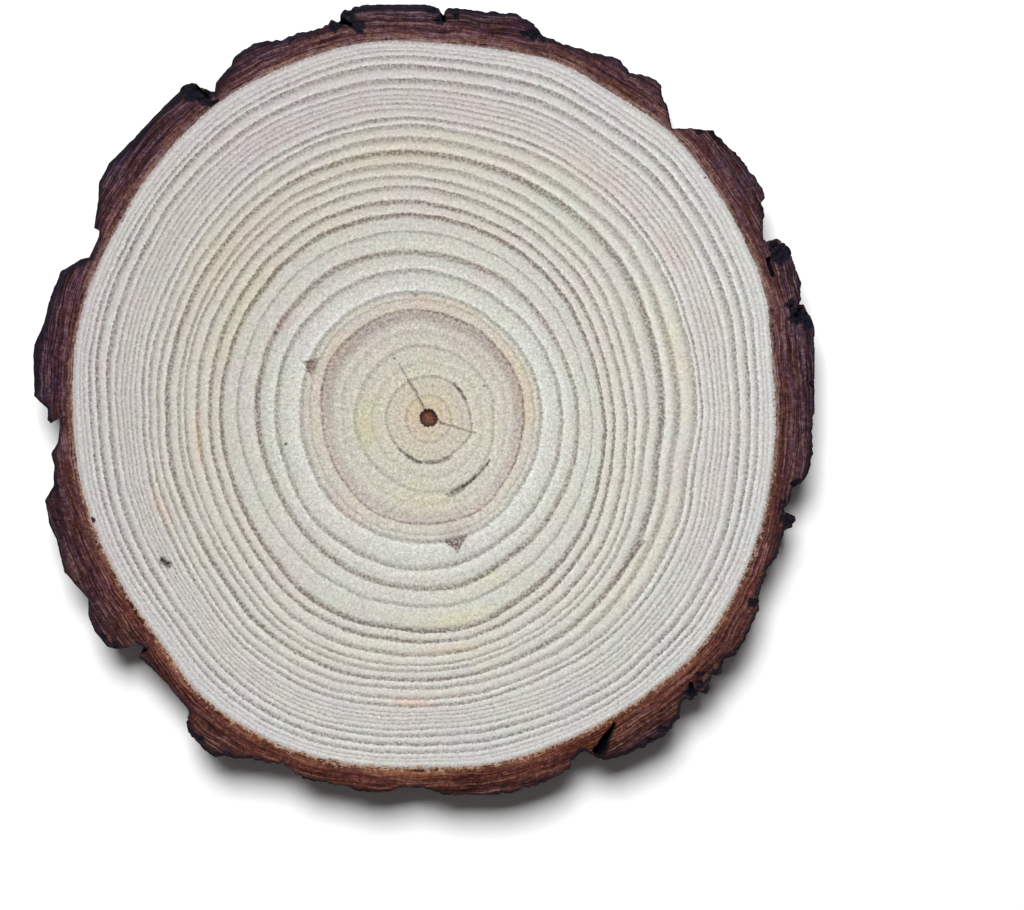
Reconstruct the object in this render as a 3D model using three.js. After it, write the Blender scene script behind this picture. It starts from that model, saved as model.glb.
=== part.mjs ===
// Wood slice: a disc sawn straight across a trunk, with its bark still on, lying flat on its lower face.
// Wood and bark grew together, so the slice is one closed solid. Millimetres, +Z up.
// Angles are in degrees, anticlockwise from +X, about the pith, the trunk's growth centre.
import * as THREE from 'three';

const sliceThickness = 20;
const outlineStep = 1; // degrees between neighbouring points of the outline

// The bark's outer edge at the upper face, one line for each bark plate or furrow.
// Each point is [angle, distance from the pith].
const barkPlates = [
  [[-11.2, 118.3], [-10.2, 119.2], [-8.6, 122.5], [2.8, 123.2], [8.1, 124.9], [13.5, 127.2], [17.1, 124.4]],
  [[19.8, 126.7], [21.6, 127.1], [24.4, 127.0], [25.4, 126.0], [27.1, 123.8], [27.7, 122.0]],
  [[30.7, 124.8], [33.0, 126.9], [33.4, 128.6], [34.6, 129.6], [37.8, 129.4], [41.1, 130.1]],
  [[42.6, 128.5], [45.3, 129.3], [47.8, 124.9], [49.9, 120.9]],
  [[51.0, 122.3], [52.7, 125.9], [54.3, 127.4], [55.3, 130.0], [56.4, 130.3], [59.6, 128.0]],
  [[62.0, 129.8], [63.9, 129.3], [66.6, 127.9], [70.8, 127.1], [73.2, 127.7]],
  [[75.8, 131.0], [77.8, 132.3], [80.0, 131.6], [87.3, 131.3], [88.1, 129.4], [88.7, 131.2]],
  [[90.6, 132.5], [93.5, 132.7], [98.6, 133.7], [100.6, 133.1], [102.8, 130.3], [106.6, 129.2]],
  [[108.6, 130.0], [112.2, 130.3], [114.8, 132.2], [118.2, 131.5], [119.4, 129.3], [122.5, 127.1]],
  [[124.3, 127.5], [125.0, 130.1], [125.7, 132.0], [130.5, 130.9], [136.8, 130.1], [141.4, 130.8]],
  [[144.4, 129.7], [146.6, 126.7], [150.3, 122.5], [151.1, 120.5]],
  [[154.6, 120.2], [155.4, 122.3], [158.2, 126.7], [162.4, 127.1], [166.4, 126.9], [169.5, 128.4]],
  [[171.2, 128.1], [174.4, 126.9], [176.8, 126.4], [178.6, 122.1], [180.0, 119.0]],
  [[183.6, 118.8], [185.4, 121.3], [187.2, 120.8]],
  [[190.3, 122.1], [192.1, 125.5], [195.6, 126.1], [198.3, 125.2], [202.9, 126.6], [206.9, 123.9]],
  [[208.0, 123.4], [210.2, 126.0], [212.7, 126.8], [215.5, 126.3], [216.4, 124.6], [217.4, 120.8]],
  [[218.4, 117.6], [219.2, 116.8], [219.8, 120.1], [222.1, 119.3], [225.5, 119.4], [229.8, 120.7]],
  [[231.3, 121.7], [231.6, 124.7], [232.6, 126.8], [235.2, 127.5], [237.7, 127.9], [240.2, 125.1]],
  [[242.6, 122.6], [245.4, 121.1], [247.1, 119.8], [248.6, 120.6], [250.8, 122.0], [254.0, 121.2]],
  [[257.1, 120.8], [260.2, 121.1], [263.3, 120.2], [266.3, 118.0]],
  [[269.6, 118.4], [272.2, 120.4], [275.5, 121.2], [278.8, 122.1], [282.7, 122.7], [285.4, 122.2]],
  [[288.9, 121.8], [291.5, 120.7], [292.6, 118.6], [295.0, 117.9]],
  [[296.3, 120.3], [297.4, 123.3], [301.8, 124.9], [304.3, 125.9], [307.9, 126.2], [310.1, 124.6]],
  [[311.1, 122.8], [312.2, 121.8], [313.5, 122.1], [315.7, 123.7], [317.8, 122.4], [319.0, 124.0]],
  [[320.7, 121.8], [322.3, 123.5], [323.6, 123.5], [325.6, 122.4], [328.1, 122.3], [330.8, 120.8]],
  [[332.4, 119.4], [338.3, 119.6], [341.2, 119.5], [344.7, 120.9], [346.0, 119.2]],
];

// How the side changes down its height: the furrows lean round the trunk, and the lower edge has crumbled more.
const sideLevels = [
  { height: 0, lean: 1.4, worn: 1.3 },
  { height: 0.25 * sliceThickness, lean: 1.0, worn: 0.5 },
  { height: 0.6 * sliceThickness, lean: 0.5, worn: 0.2 },
  { height: sliceThickness, lean: 0, worn: 0 },
];

const wood = new THREE.MeshStandardMaterial({ color: 0xd9d2c4, roughness: 0.85, metalness: 0 });

// The outline's distance from the pith at an angle, along straight lines from point to point.
function outlineRadius(angle) {
  const points = barkPlates.flat();
  const first = points[0];
  const turned = THREE.MathUtils.euclideanModulo(angle - first[0], 360) + first[0];
  const closed = [...points, [first[0] + 360, first[1]]];
  const next = closed.findIndex((point) => point[0] > turned);
  const [angleA, radiusA] = closed[next - 1];
  const [angleB, radiusB] = closed[next];
  return THREE.MathUtils.mapLinear(turned, angleA, angleB, radiusA, radiusB);
}

// One closed loop of points around the side, at one of sideLevels.
function outlineLoop({ height, lean, worn }) {
  const loop = [];
  for (let angle = 0; angle < 360; angle += outlineStep) {
    const radius = outlineRadius(angle + lean) - worn;
    const turn = THREE.MathUtils.degToRad(angle);
    loop.push(new THREE.Vector3(radius * Math.cos(turn), radius * Math.sin(turn), height));
  }
  return loop;
}

// Moves the points so that the middle of their bounding box stands at x = 0, y = 0.
function centre(points) {
  const middle = new THREE.Box3().setFromPoints(points).getCenter(new THREE.Vector3());
  points.forEach((point) => point.sub(new THREE.Vector3(middle.x, middle.y, 0)));
}

// The slice: loops joined by the bark side, and closed by two flat sawn faces that fan out from the pith.
function sliceGeometry() {
  const loops = sideLevels.map(outlineLoop);
  const loopSize = loops[0].length;
  const lowerPith = new THREE.Vector3(0, 0, 0);
  const upperPith = new THREE.Vector3(0, 0, sliceThickness);
  const points = [...loops.flat(), lowerPith, upperPith];
  centre(points);

  const lowerPithIndex = loops.length * loopSize;
  const upperPithIndex = lowerPithIndex + 1;
  const upperLoopStart = (loops.length - 1) * loopSize;
  const faces = [];
  for (let i = 0; i < loopSize; i += 1) {
    const next = (i + 1) % loopSize;
    for (let level = 0; level < loops.length - 1; level += 1) {
      const below = level * loopSize;
      const above = below + loopSize;
      faces.push(below + i, below + next, above + next);
      faces.push(below + i, above + next, above + i);
    }
    faces.push(lowerPithIndex, next, i);
    faces.push(upperPithIndex, upperLoopStart + i, upperLoopStart + next);
  }

  const geometry = new THREE.BufferGeometry().setFromPoints(points);
  geometry.setIndex(faces);
  geometry.computeVertexNormals();
  return geometry;
}

const woodSlice = new THREE.Mesh(sliceGeometry(), wood);
woodSlice.name = 'wood_slice';

const slice = new THREE.Group();
slice.add(woodSlice);

export default slice;
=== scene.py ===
import math
import bpy
import numpy as np
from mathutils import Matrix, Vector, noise


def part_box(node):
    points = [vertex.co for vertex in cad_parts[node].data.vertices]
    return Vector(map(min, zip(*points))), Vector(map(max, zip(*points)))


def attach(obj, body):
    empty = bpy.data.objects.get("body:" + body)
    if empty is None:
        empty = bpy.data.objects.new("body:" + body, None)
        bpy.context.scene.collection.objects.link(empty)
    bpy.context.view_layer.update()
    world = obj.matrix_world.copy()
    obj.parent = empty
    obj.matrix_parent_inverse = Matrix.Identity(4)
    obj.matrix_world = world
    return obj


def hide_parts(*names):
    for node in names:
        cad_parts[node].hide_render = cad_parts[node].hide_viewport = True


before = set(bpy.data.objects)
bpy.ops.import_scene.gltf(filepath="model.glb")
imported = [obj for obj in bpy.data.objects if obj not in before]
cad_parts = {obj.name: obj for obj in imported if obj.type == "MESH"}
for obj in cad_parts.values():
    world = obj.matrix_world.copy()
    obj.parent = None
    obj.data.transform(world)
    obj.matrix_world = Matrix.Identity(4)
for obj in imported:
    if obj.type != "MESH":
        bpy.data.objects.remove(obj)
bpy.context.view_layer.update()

# A slice sawn across a trunk, lying flat: the disc of wood with its growth rings, and the bark round it.
# Angles are in degrees, anticlockwise from +X about the pith, and distances from the pith are in millimetres.

mm = 0.001
sliceLow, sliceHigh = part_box("wood_slice")
sliceThickness = (sliceHigh.z - sliceLow.z) / mm

# The bark's outer edge on the upper face, one list for each plate or furrow: [angle, distance from the pith].
barkPlates = [
    [[-11.2, 118.3], [-10.3, 119.2], [-9.5, 121.5], [-8.0, 123.2], [2.8, 123.4], [8.1, 124.9],
     [13.3, 126.9], [14.4, 127.0]],
    [[16.7, 125.2], [17.0, 123.9], [18.8, 125.4], [19.9, 126.8], [22.9, 126.9], [25.1, 127.5], [25.8, 126.6]],
    [[26.0, 125.0], [27.1, 124.7], [27.4, 122.0], [28.3, 121.2]],
    [[30.7, 124.8], [33.0, 126.9], [33.4, 128.6], [34.6, 129.6], [37.8, 129.7], [41.5, 129.4]],
    [[45.2, 129.5], [47.8, 124.9], [49.9, 120.9]],
    [[51.0, 122.3], [52.7, 125.9], [54.3, 127.4], [55.3, 130.0], [56.4, 130.3], [59.6, 128.0]],
    [[62.0, 129.8], [63.9, 129.3], [66.6, 127.9], [70.8, 127.1], [73.2, 127.7]],
    [[75.8, 131.0], [77.8, 132.3], [80.0, 131.6], [87.3, 131.3], [88.1, 129.4], [88.7, 131.2]],
    [[90.6, 132.5], [93.5, 132.7], [98.6, 133.7], [100.6, 133.1], [102.8, 130.3], [106.6, 129.2]],
    [[108.6, 130.0], [112.2, 130.3], [114.8, 132.2], [118.2, 131.5], [119.4, 129.3], [122.4, 127.2]],
    [[123.2, 124.9], [123.9, 125.9], [124.5, 127.3], [125.2, 128.4], [125.3, 130.9], [126.0, 132.0],
     [130.5, 130.9], [136.8, 130.1], [141.4, 130.8]],
    [[144.4, 129.7], [146.6, 126.7], [150.4, 123.2], [150.3, 121.4], [151.1, 120.5]],
    [[154.6, 120.2], [155.4, 122.3], [158.2, 126.7], [162.4, 127.1], [166.4, 126.9], [169.5, 128.4]],
    [[171.2, 128.1], [174.4, 126.9], [176.8, 126.5], [178.6, 121.9], [180.3, 121.9], [180.8, 120.9],
     [178.6, 118.4]],
    [[181.0, 118.1], [183.6, 118.8], [185.4, 121.3], [187.2, 120.8]],
    [[190.3, 122.1], [192.1, 125.5], [195.6, 126.1], [198.3, 125.2], [202.9, 126.6], [206.9, 123.9]],
    [[208.0, 123.4], [210.2, 126.0], [212.7, 126.8], [215.5, 126.3], [216.4, 124.6], [217.4, 120.8]],
    [[216.9, 118.6], [218.3, 117.4], [219.7, 116.6], [220.3, 118.2], [219.4, 120.3], [222.1, 119.5]],
    [[225.5, 119.4], [229.8, 120.7], [231.3, 121.7], [231.5, 124.7], [232.6, 126.8], [235.2, 127.5]],
    [[237.7, 127.9], [240.2, 125.1], [242.6, 122.6], [245.4, 121.1], [247.1, 119.8], [248.6, 120.6]],
    [[250.8, 122.0], [254.0, 121.2], [257.1, 120.8], [260.2, 121.1], [263.3, 120.2], [266.3, 118.0]],
    [[269.6, 118.4], [272.2, 120.4], [275.5, 121.2], [278.8, 122.1], [282.7, 122.7], [285.4, 122.2]],
    [[288.9, 121.8], [291.5, 120.7], [292.6, 118.6], [295.4, 117.4]],
    [[296.3, 120.7], [297.4, 123.3], [301.8, 124.9], [304.3, 125.9], [307.9, 126.2], [310.1, 124.6]],
    [[311.1, 122.8], [312.2, 121.8], [313.5, 122.1], [315.7, 123.7], [317.8, 122.4], [319.0, 124.0]],
    [[320.7, 121.8], [322.3, 123.5], [323.6, 123.6], [325.9, 122.8], [328.1, 122.5], [330.8, 120.8]],
    [[332.4, 119.3], [336.5, 118.8], [338.1, 119.9], [339.5, 119.5], [342.4, 119.2], [345.7, 117.3],
     [347.0, 118.5]],
]

# The outer edge of the wood, every 10 degrees. It is the end of the last ring.
lastRing = 26
woodEdge = [
    111.8, 112.3, 115.5, 116.8, 118.4, 120.4, 120.2, 121.6, 120.5,
    120.8, 122.4, 122.1, 122.1, 120.7, 119.0, 117.4, 116.9, 115.8,
    114.2, 113.8, 112.8, 112.2, 112.3, 115.2, 115.6, 115.2, 113.7,
    112.4, 113.0, 112.7, 112.7, 113.2, 114.3, 113.4, 112.6, 111.9,
]


def roundValue(readings, angle):
    # reads evenly spaced readings round the pith at any angle, along a smooth closed curve
    readings = np.asarray(readings, float)
    place = np.asarray(angle, float) / 360 * len(readings)
    start = np.floor(place).astype(int)
    t = place - start
    before, here, after, beyond = (readings[(start + k) % len(readings)] for k in (-1, 0, 1, 2))
    bend = 2 * before - 5 * here + 4 * after - beyond + t * (3 * (here - after) + beyond - before)
    return here + 0.5 * t * (after - before + t * bend)


def fromPith(angle, distance):
    # flat x and y in millimetres about the pith
    turn = np.radians(angle)
    return np.stack([distance * np.cos(turn), distance * np.sin(turn)], -1)


def angleRound(flat):
    return np.degrees(np.arctan2(flat[:, 1], flat[:, 0])) % 360


def degreesOff(angle, middle):
    # from middle to angle, the short way round
    return (angle - middle + 180) % 360 - 180


def roughness(points, size, octaves, seed):
    # fractal noise, about -1 to 1, at each point; size is the width of its largest lumps
    scaled = (np.asarray(points, float) / size + seed).tolist()
    return np.array([noise.fractal(p, 1.0, 2.0, octaves) for p in scaled])


def flatRoughness(flat, size, octaves, seed):
    # the same noise at flat places
    return roughness(np.column_stack([flat, np.zeros(len(flat))]), size, octaves, seed)


def smoothStep(low, high, x):
    t = np.clip((np.asarray(x, float) - low) / (high - low), 0, 1)
    return t * t * (3 - 2 * t)


edgePoints = np.array([point for plate in barkPlates for point in plate])
edgeCorners = fromPith(edgePoints[:, 0], edgePoints[:, 1])
# the outline's outermost corners lie on the sides of the CAD part's box
pith = np.array([sliceHigh.x, sliceHigh.y]) / mm - edgeCorners.max(0)
pithSpot = tuple(np.append(pith, 0) * mm)


def placeMesh(piece, flat, height):
    # writes every vertex: flat x and y about the pith, and height above the lower face
    places = np.column_stack([flat + pith, height]) * mm
    low, high = np.array(sliceLow), np.array(sliceHigh)
    piece.data.vertices.foreach_set("co", np.clip(places, low, high).ravel())
    piece.data.update()


def vertexPlaces(piece):
    places = np.empty(len(piece.data.vertices) * 3)
    piece.data.vertices.foreach_get("co", places)
    return places.reshape(-1, 3)


def cornerVertices(piece):
    # the vertex at each corner of each face
    corners = np.empty(len(piece.data.loops), int)
    piece.data.loops.foreach_get("vertex_index", corners)
    return corners


def addMap(piece, spots):
    # the square map that the textures are baked on, with one spot for each corner of each face
    layer = piece.data.uv_layers.new(name="OFBake")
    layer.data.foreach_set("uv", spots.astype(np.float32).ravel())


def addReading(mesh, name, values):
    reading = mesh.attributes.new(name, "FLOAT", "POINT")
    reading.data.foreach_set("value", np.asarray(values, np.float32))


def addTint(mesh, name, colours):
    tint = mesh.attributes.new(name, "FLOAT_COLOR", "POINT")
    opaque = np.column_stack([colours, np.ones(len(colours))])
    tint.data.foreach_set("color", opaque.astype(np.float32).ravel())


class Wire:
    # one output of a material's node, with arithmetic on it

    def __init__(self, shader, socket):
        self.shader = shader
        self.socket = socket

    def maths(self, operation, *others, first=None):
        values = (self if first is None else first, *others)
        return self.shader.node("ShaderNodeMath", {"operation": operation}, dict(enumerate(values)))

    def other(self, out):
        # another output of the same node
        return Wire(self.shader, self.socket.node.outputs[out])

    def __add__(self, other):
        return self.maths("ADD", other)

    def __radd__(self, other):
        return self.maths("ADD", other)

    def __sub__(self, other):
        return self.maths("SUBTRACT", other)

    def __rsub__(self, other):
        return self.maths("SUBTRACT", self, first=other)

    def __mul__(self, other):
        return self.maths("MULTIPLY", other)

    def __rmul__(self, other):
        return self.maths("MULTIPLY", other)

    def __truediv__(self, other):
        return self.maths("DIVIDE", other)

    def __rtruediv__(self, other):
        return self.maths("DIVIDE", self, first=other)


class Shader:
    # a new material, built node by node

    def __init__(self, name):
        self.material = bpy.data.materials.new(name)
        self.material.use_nodes = True
        self.tree = self.material.node_tree
        self.finish = self.tree.nodes["Principled BSDF"]

    def node(self, kind, settings=None, sockets=None, out=0):
        made = self.tree.nodes.new(kind)
        for name, value in (settings or {}).items():
            if name == "stops":
                self.setStops(made.color_ramp, value)
            else:
                setattr(made, name, value)
        for name, value in (sockets or {}).items():
            self.feed(made.inputs[name], value)
        return Wire(self, made.outputs[out])

    def setStops(self, ramp, stops):
        while len(ramp.elements) < len(stops):
            ramp.elements.new(0.5)
        for element, (position, tone) in zip(ramp.elements, stops):
            element.position = position
            element.color = (*tone, 1)

    def feed(self, socket, value):
        if isinstance(value, Wire):
            self.tree.links.new(value.socket, socket)
        else:
            socket.default_value = value

    def reading(self, name):
        return self.node("ShaderNodeAttribute", {"attribute_name": name}, out="Fac")

    def colourReading(self, name):
        return self.node("ShaderNodeAttribute", {"attribute_name": name}, out="Color")

    def place(self):
        return self.node("ShaderNodeTexCoord", out="Object")

    def speckle(self, vector, settings, out=0):
        scale, detail, rough = settings
        sockets = {"Vector": vector, "Scale": scale, "Detail": detail, "Roughness": rough}
        return self.node("ShaderNodeTexNoise", {}, sockets, out)

    def ramp(self, value, low, high, toLow=0.0, toHigh=1.0, curve="SMOOTHSTEP"):
        sockets = {"Value": value, 1: low, 2: high, 3: toLow, 4: toHigh}
        return self.node("ShaderNodeMapRange", {"interpolation_type": curve}, sockets)

    def mix(self, factor, colourA, colourB, blend="MIX"):
        settings = {"data_type": "RGBA", "blend_type": blend}
        return self.node("ShaderNodeMix", settings, {0: factor, 6: colourA, 7: colourB}, out=2)

    def tint(self, factor, tone, shares):
        # multiplies a tone by shares of red, green and blue
        shares = shares if isinstance(shares, Wire) else (*shares, 1)
        return self.mix(factor, tone, shares, "MULTIPLY")

    def vector(self, operation, first, second=None, scale=None, out=0):
        values = {0: first, 1: second, "Scale": scale}
        values = {name: value for name, value in values.items() if value is not None}
        return self.node("ShaderNodeVectorMath", {"operation": operation}, values, out)

    def split(self, vector, part):
        return self.node("ShaderNodeSeparateXYZ", {}, {0: vector}, out=part)

    def join(self, x, y, z):
        return self.node("ShaderNodeCombineXYZ", {}, {0: x, 1: y, 2: z})

    def grey(self, value):
        return self.join(value, value, value)

    def leafPlace(self, around, aroundScale, height):
        # where to read noise that is drawn out round the trunk, and changes with height from layer to layer
        spread = self.vector("SCALE", around, scale=aroundScale)
        return self.vector("ADD", spread, self.join(0.0, 0.0, height))

    def bump(self, height, distance, strength):
        sockets = {"Strength": strength, "Distance": distance, "Height": height}
        return self.node("ShaderNodeBump", {}, sockets)

    def end(self, **sockets):
        for name, value in sockets.items():
            self.feed(self.finish.inputs[name.replace("_", " ")], value)
        return self.material


def colour(red, green, blue):
    # a colour as it is seen on a screen, 0 to 255, turned into the light that a shader works in
    shares = [c / 255 for c in (red, green, blue)]
    return [c / 12.92 if c <= 0.04045 else ((c + 0.055) / 1.055) ** 2.4 for c in shares]


def solid(tone):
    return (*colour(*tone), 1)


def deselectAll():
    bpy.ops.object.select_all(action="DESELECT")


# The camera looks straight down on the slice.
view = {
    "picture": (1024, 910),
    "pithPixel": (428.5, 418.0),
    "pixel": 0.32,  # millimetres of the upper face
    "lens": 100.0,
    "sensor": 36.0,
}


def addCamera():
    width, height = view["picture"]
    right = (width / 2 - view["pithPixel"][0]) * view["pixel"]
    down = (height / 2 - view["pithPixel"][1]) * view["pixel"]
    away = width * view["pixel"] * view["lens"] / view["sensor"]
    data = bpy.data.cameras.new("camera")
    data.lens = view["lens"]
    data.sensor_width = view["sensor"]
    camera = bpy.data.objects.new("camera", data)
    camera.location = ((pith[0] + right) * mm, (pith[1] - down) * mm, (sliceThickness + away) * mm)
    bpy.context.scene.collection.objects.link(camera)
    bpy.context.scene.camera = camera
    print("camera", round(away), "mm above the face")


# The wood: how the growth rings run, and how many faces carry them.
wood = {
    "around": 720,
    # four guide rings: ring number, and its distance from the pith at even angles
    "guideRings": [
        (4, [29.8, 30.4, 31.4, 33.6, 35.2, 35.2, 32.6, 32.0, 33.3, 33.1, 32.6, 30.4]),
        (9, [56.0, 55.2, 57.8, 60.5, 63.2, 65.3, 67.8, 67.5, 66.4,
             66.1, 65.3, 66.6, 69.0, 67.8, 67.8, 64.6, 61.4, 58.2]),
        (16, [86.7, 86.7, 86.7, 88.3, 89.9, 90.9, 91.8, 92.5, 93.1,
              94.1, 94.7, 95.2, 95.4, 95.0, 94.1, 92.8, 91.8, 91.0,
              89.9, 89.6, 88.8, 88.6, 89.6, 92.0, 92.8, 92.4, 90.9,
              89.9, 89.6, 89.0, 89.3, 89.6, 89.6, 88.6, 87.4, 85.4]),
        (lastRing, woodEdge),
    ],
    # where the rings between two guides lie, as shares of the wood between them
    "ringsBetween": [
        [0.25, 0.46, 0.72],
        [0.19, 0.43, 0.63, 0.81],
        [0.14, 0.31, 0.45, 0.56, 0.70, 0.86],
        [0.09, 0.20, 0.30, 0.39, 0.49, 0.60, 0.70, 0.80, 0.90],
    ],
    # how single rings stray from that: ring number, and where it really runs, in rings, every 20 degrees
    "ringPlaces": [
        (1.80, [1.95, 1.90, 1.90, 1.85, 1.75, 1.65, 1.60, 1.60, 1.65,
                1.80, 1.80, 1.80, 1.80, 1.85, 1.90, 1.80, 1.90, 2.10]),
        (3.00, [2.90, 2.95, 2.90, 2.90, 2.85, 2.85, 2.80, 2.75, 2.80,
                3.00, 3.00, 2.95, 2.85, 2.95, 3.00, 3.05, 3.05, 3.00]),
        (4.05, [4.02, 4.05, 4.02, 4.05, 4.00, 4.05, 4.00, 4.02, 4.12,
                4.10, 4.15, 4.10, 4.12, 4.05, 4.00, 4.03, 4.00, 4.00]),
        (5.10, [5.15, 5.20, 5.12, 5.05, 5.05, 5.05, 5.05, 5.08, 5.12,
                5.20, 5.25, 5.20, 5.00, 4.95, 4.97, 4.95, 4.97, 5.10]),
        (6.10, [6.30, 6.35, 6.15, 6.00, 6.00, 6.05, 6.00, 6.10, 6.25,
                6.25, 6.30, 6.30, 6.00, 6.10, 5.95, 5.90, 6.05, 6.20]),
        (7.05, [7.35, 7.35, 7.05, 7.10, 6.90, 7.00, 7.05, 7.10, 7.20,
                7.15, 7.10, 7.00, 6.85, 6.95, 6.95, 6.80, 7.00, 7.15]),
        (8.05, [8.30, 8.30, 8.15, 8.10, 8.10, 8.20, 8.10, 8.20, 8.25,
                8.20, 8.10, 8.00, 7.75, 7.85, 7.80, 7.80, 7.95, 8.10]),
        (9.10, [9.05, 9.15, 9.05, 9.00, 9.00, 9.15, 9.00, 9.00, 9.15,
                9.15, 9.20, 9.10, 9.15, 9.20, 9.15, 9.05, 9.05, 9.00]),
        (10.05, [9.75, 9.90, 9.85, 9.85, 9.85, 10.20, 10.05, 10.15, 10.25,
                 10.20, 10.25, 10.15, 10.10, 10.20, 10.10, 10.05, 9.95, 9.75]),
        (11.00, [10.60, 10.60, 10.65, 10.65, 10.85, 11.15, 11.00, 11.10, 11.30,
                 11.20, 11.20, 11.20, 11.30, 11.50, 11.20, 11.10, 10.90, 10.70]),
        (12.00, [11.15, 11.20, 11.30, 11.35, 11.50, 11.90, 12.00, 12.10, 12.50,
                 12.50, 12.50, 12.45, 12.40, 12.65, 12.30, 12.00, 11.65, 11.30]),
        (12.85, [12.10, 12.30, 12.30, 12.35, 12.70, 13.10, 12.90, 12.90, 13.10,
                 13.20, 13.30, 13.30, 13.30, 13.40, 13.10, 12.70, 12.30, 12.00]),
        (14.00, [13.40, 13.75, 13.75, 13.70, 13.80, 14.00, 13.95, 13.95, 14.15,
                 14.30, 14.35, 14.30, 14.10, 14.25, 14.10, 13.85, 13.55, 13.50]),
        (14.80, [14.50, 14.65, 14.75, 14.60, 14.75, 14.95, 14.70, 14.70, 14.95,
                 15.10, 15.20, 15.20, 15.00, 14.95, 14.85, 14.90, 14.45, 14.40]),
        (15.85, [15.75, 16.05, 15.85, 15.75, 15.70, 15.95, 15.80, 15.65, 15.75,
                 15.85, 15.95, 16.15, 15.90, 16.00, 16.00, 15.95, 15.70, 15.70]),
        (16.75, [16.25, 16.60, 16.50, 16.50, 16.50, 16.80, 16.60, 16.40, 16.70,
                 16.70, 17.10, 17.10, 16.95, 17.10, 17.00, 16.70, 16.45, 16.50]),
        (18.30, [17.90, 18.20, 18.20, 18.15, 18.10, 18.50, 18.50, 18.20, 18.10,
                 18.20, 18.40, 18.50, 18.50, 18.45, 18.30, 18.65, 18.30, 18.30]),
        (20.25, [20.00, 20.10, 20.10, 20.00, 20.10, 20.30, 20.30, 20.30, 20.30,
                 20.20, 20.10, 20.10, 20.40, 20.50, 20.30, 20.65, 20.40, 20.40]),
        (21.40, [21.15, 21.40, 21.30, 21.20, 21.30, 21.35, 21.30, 21.35, 21.40,
                 21.30, 21.45, 21.40, 21.20, 21.40, 21.35, 21.70, 21.65, 21.80]),
        (22.70, [22.40, 22.65, 22.60, 22.60, 22.60, 23.00, 22.90, 22.95, 22.95,
                 22.60, 22.75, 22.60, 22.40, 22.50, 22.50, 23.00, 22.80, 22.90]),
        (23.70, [23.50, 23.70, 23.70, 23.60, 23.90, 23.95, 23.60, 23.60, 23.70,
                 23.60, 23.75, 23.55, 23.50, 23.70, 23.60, 23.95, 23.70, 23.80]),
    ],
    # short dents and bulges that the outer rings share: angle, half span in degrees, and rings outwards
    "ringDents": [(55, 6, -0.15), (187, 7, -0.25), (230, 6, -0.22),
                  (306, 5, 0.15), (320, 7, -0.15), (351, 6, 0.2)],
    "dentRings": (14, 19),  # over these rings the dents come in
    "calmRings": (24.5, 26),  # and over these the dents and the wobble die out
    "loopsInRing": 3,
    "pithLoops": (0.9, 1.8, 2.5, 2.9, 3.2, 3.7, 4.6),  # millimetres from the pith's middle
    "middleRingWidth": 5.0,  # for the pith's own middle, in millimetres
    # each noise is the size of its lumps, its octaves and its seed
    "ringWobble": 0.25,
    "wobbleNoise": (1.0, 4, 11.3),
    "wobbleReach": 5.5,  # a ring wobbles more often round the trunk with a longer reach
    "wobbleStep": 0.3,  # and less like its neighbour with a longer step
    "wobbleRings": (1, 6),
    "edgeReach": 120,  # where the noise of the edge is read
    "edgeRough": 0.25,
    "edgeTears": (9.0, 3, 4.4),
    "edgeFibres": (1.8, 2, 8.8),
    "fibreShare": 0.7,
    "edgeInset": 0.35,
    "edgeDrop": 0.12,
    "dropRings": (25.7, 26.0),
    "reliefDepth": 0.05,
    "reliefNoise": (30.0, 4, 3.7),
    "lowerRelief": 0.6,  # the lower face's share of the relief
    "pithRadius": 2.9,
    "pithDepth": 0.6,
    "pithSlope": (0.8, 1.05),  # the wood drops to the pith between these shares of its radius
    "smoothAngle": 50,
}


def guideDistance(place, angle):
    # distance from the pith, at each angle, of a place given in rings between the guides
    reach = np.zeros_like(angle)
    inner = np.zeros_like(angle)
    innerAge = 0
    for (outerAge, readings), shares in zip(wood["guideRings"], wood["ringsBetween"]):
        outer = roundValue(readings, angle)
        share = np.interp(place, np.arange(innerAge, outerAge + 1), [0.0, *shares, 1.0])
        within = (place > innerAge) | (innerAge == 0)
        reach = np.where(within, inner + (outer - inner) * share, reach)
        inner, innerAge = outer, outerAge
    return reach


def ringDistance(age, angle):
    # distance from the pith, at each angle, of the wood that grew at an age counted in rings
    ages = [0.0, *[ring for ring, _ in wood["ringPlaces"]], lastRing]
    places = [np.zeros_like(angle), *[roundValue(readings, angle) for _, readings in wood["ringPlaces"]],
              np.full_like(angle, lastRing)]
    after = min(int(np.searchsorted(ages, age, side="right")), len(ages) - 1)
    share = (age - ages[after - 1]) / (ages[after] - ages[after - 1])
    place = places[after - 1] + (places[after] - places[after - 1]) * share
    fade = smoothStep(*wood["dentRings"], age) * (1 - smoothStep(*wood["calmRings"], age))
    for middle, span, rings in wood["ringDents"]:
        place = place + fade * rings * np.exp(-(degreesOff(angle, middle) / span) ** 2)
    return guideDistance(place, angle)


def wobble(age, angle):
    # growth isn't even: each ring wanders a little, and its neighbours nearly follow it
    path = fromPith(angle, wood["wobbleReach"])
    path = np.column_stack([path, np.full(len(path), wood["wobbleStep"] * age)])
    fade = smoothStep(*wood["wobbleRings"], age) * (1 - smoothStep(*wood["calmRings"], age))
    return wood["ringWobble"] * fade * roughness(path, *wood["wobbleNoise"])


def edgeDistance(angle):
    # the wood's real edge: the smooth one, made ragged where the bark tore at it
    path = fromPith(angle, wood["edgeReach"])
    fibres = wood["fibreShare"] * flatRoughness(path, *wood["edgeFibres"])
    ragged = flatRoughness(path, *wood["edgeTears"]) + fibres
    return roundValue(woodEdge, angle) - wood["edgeInset"] + wood["edgeRough"] * ragged


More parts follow.
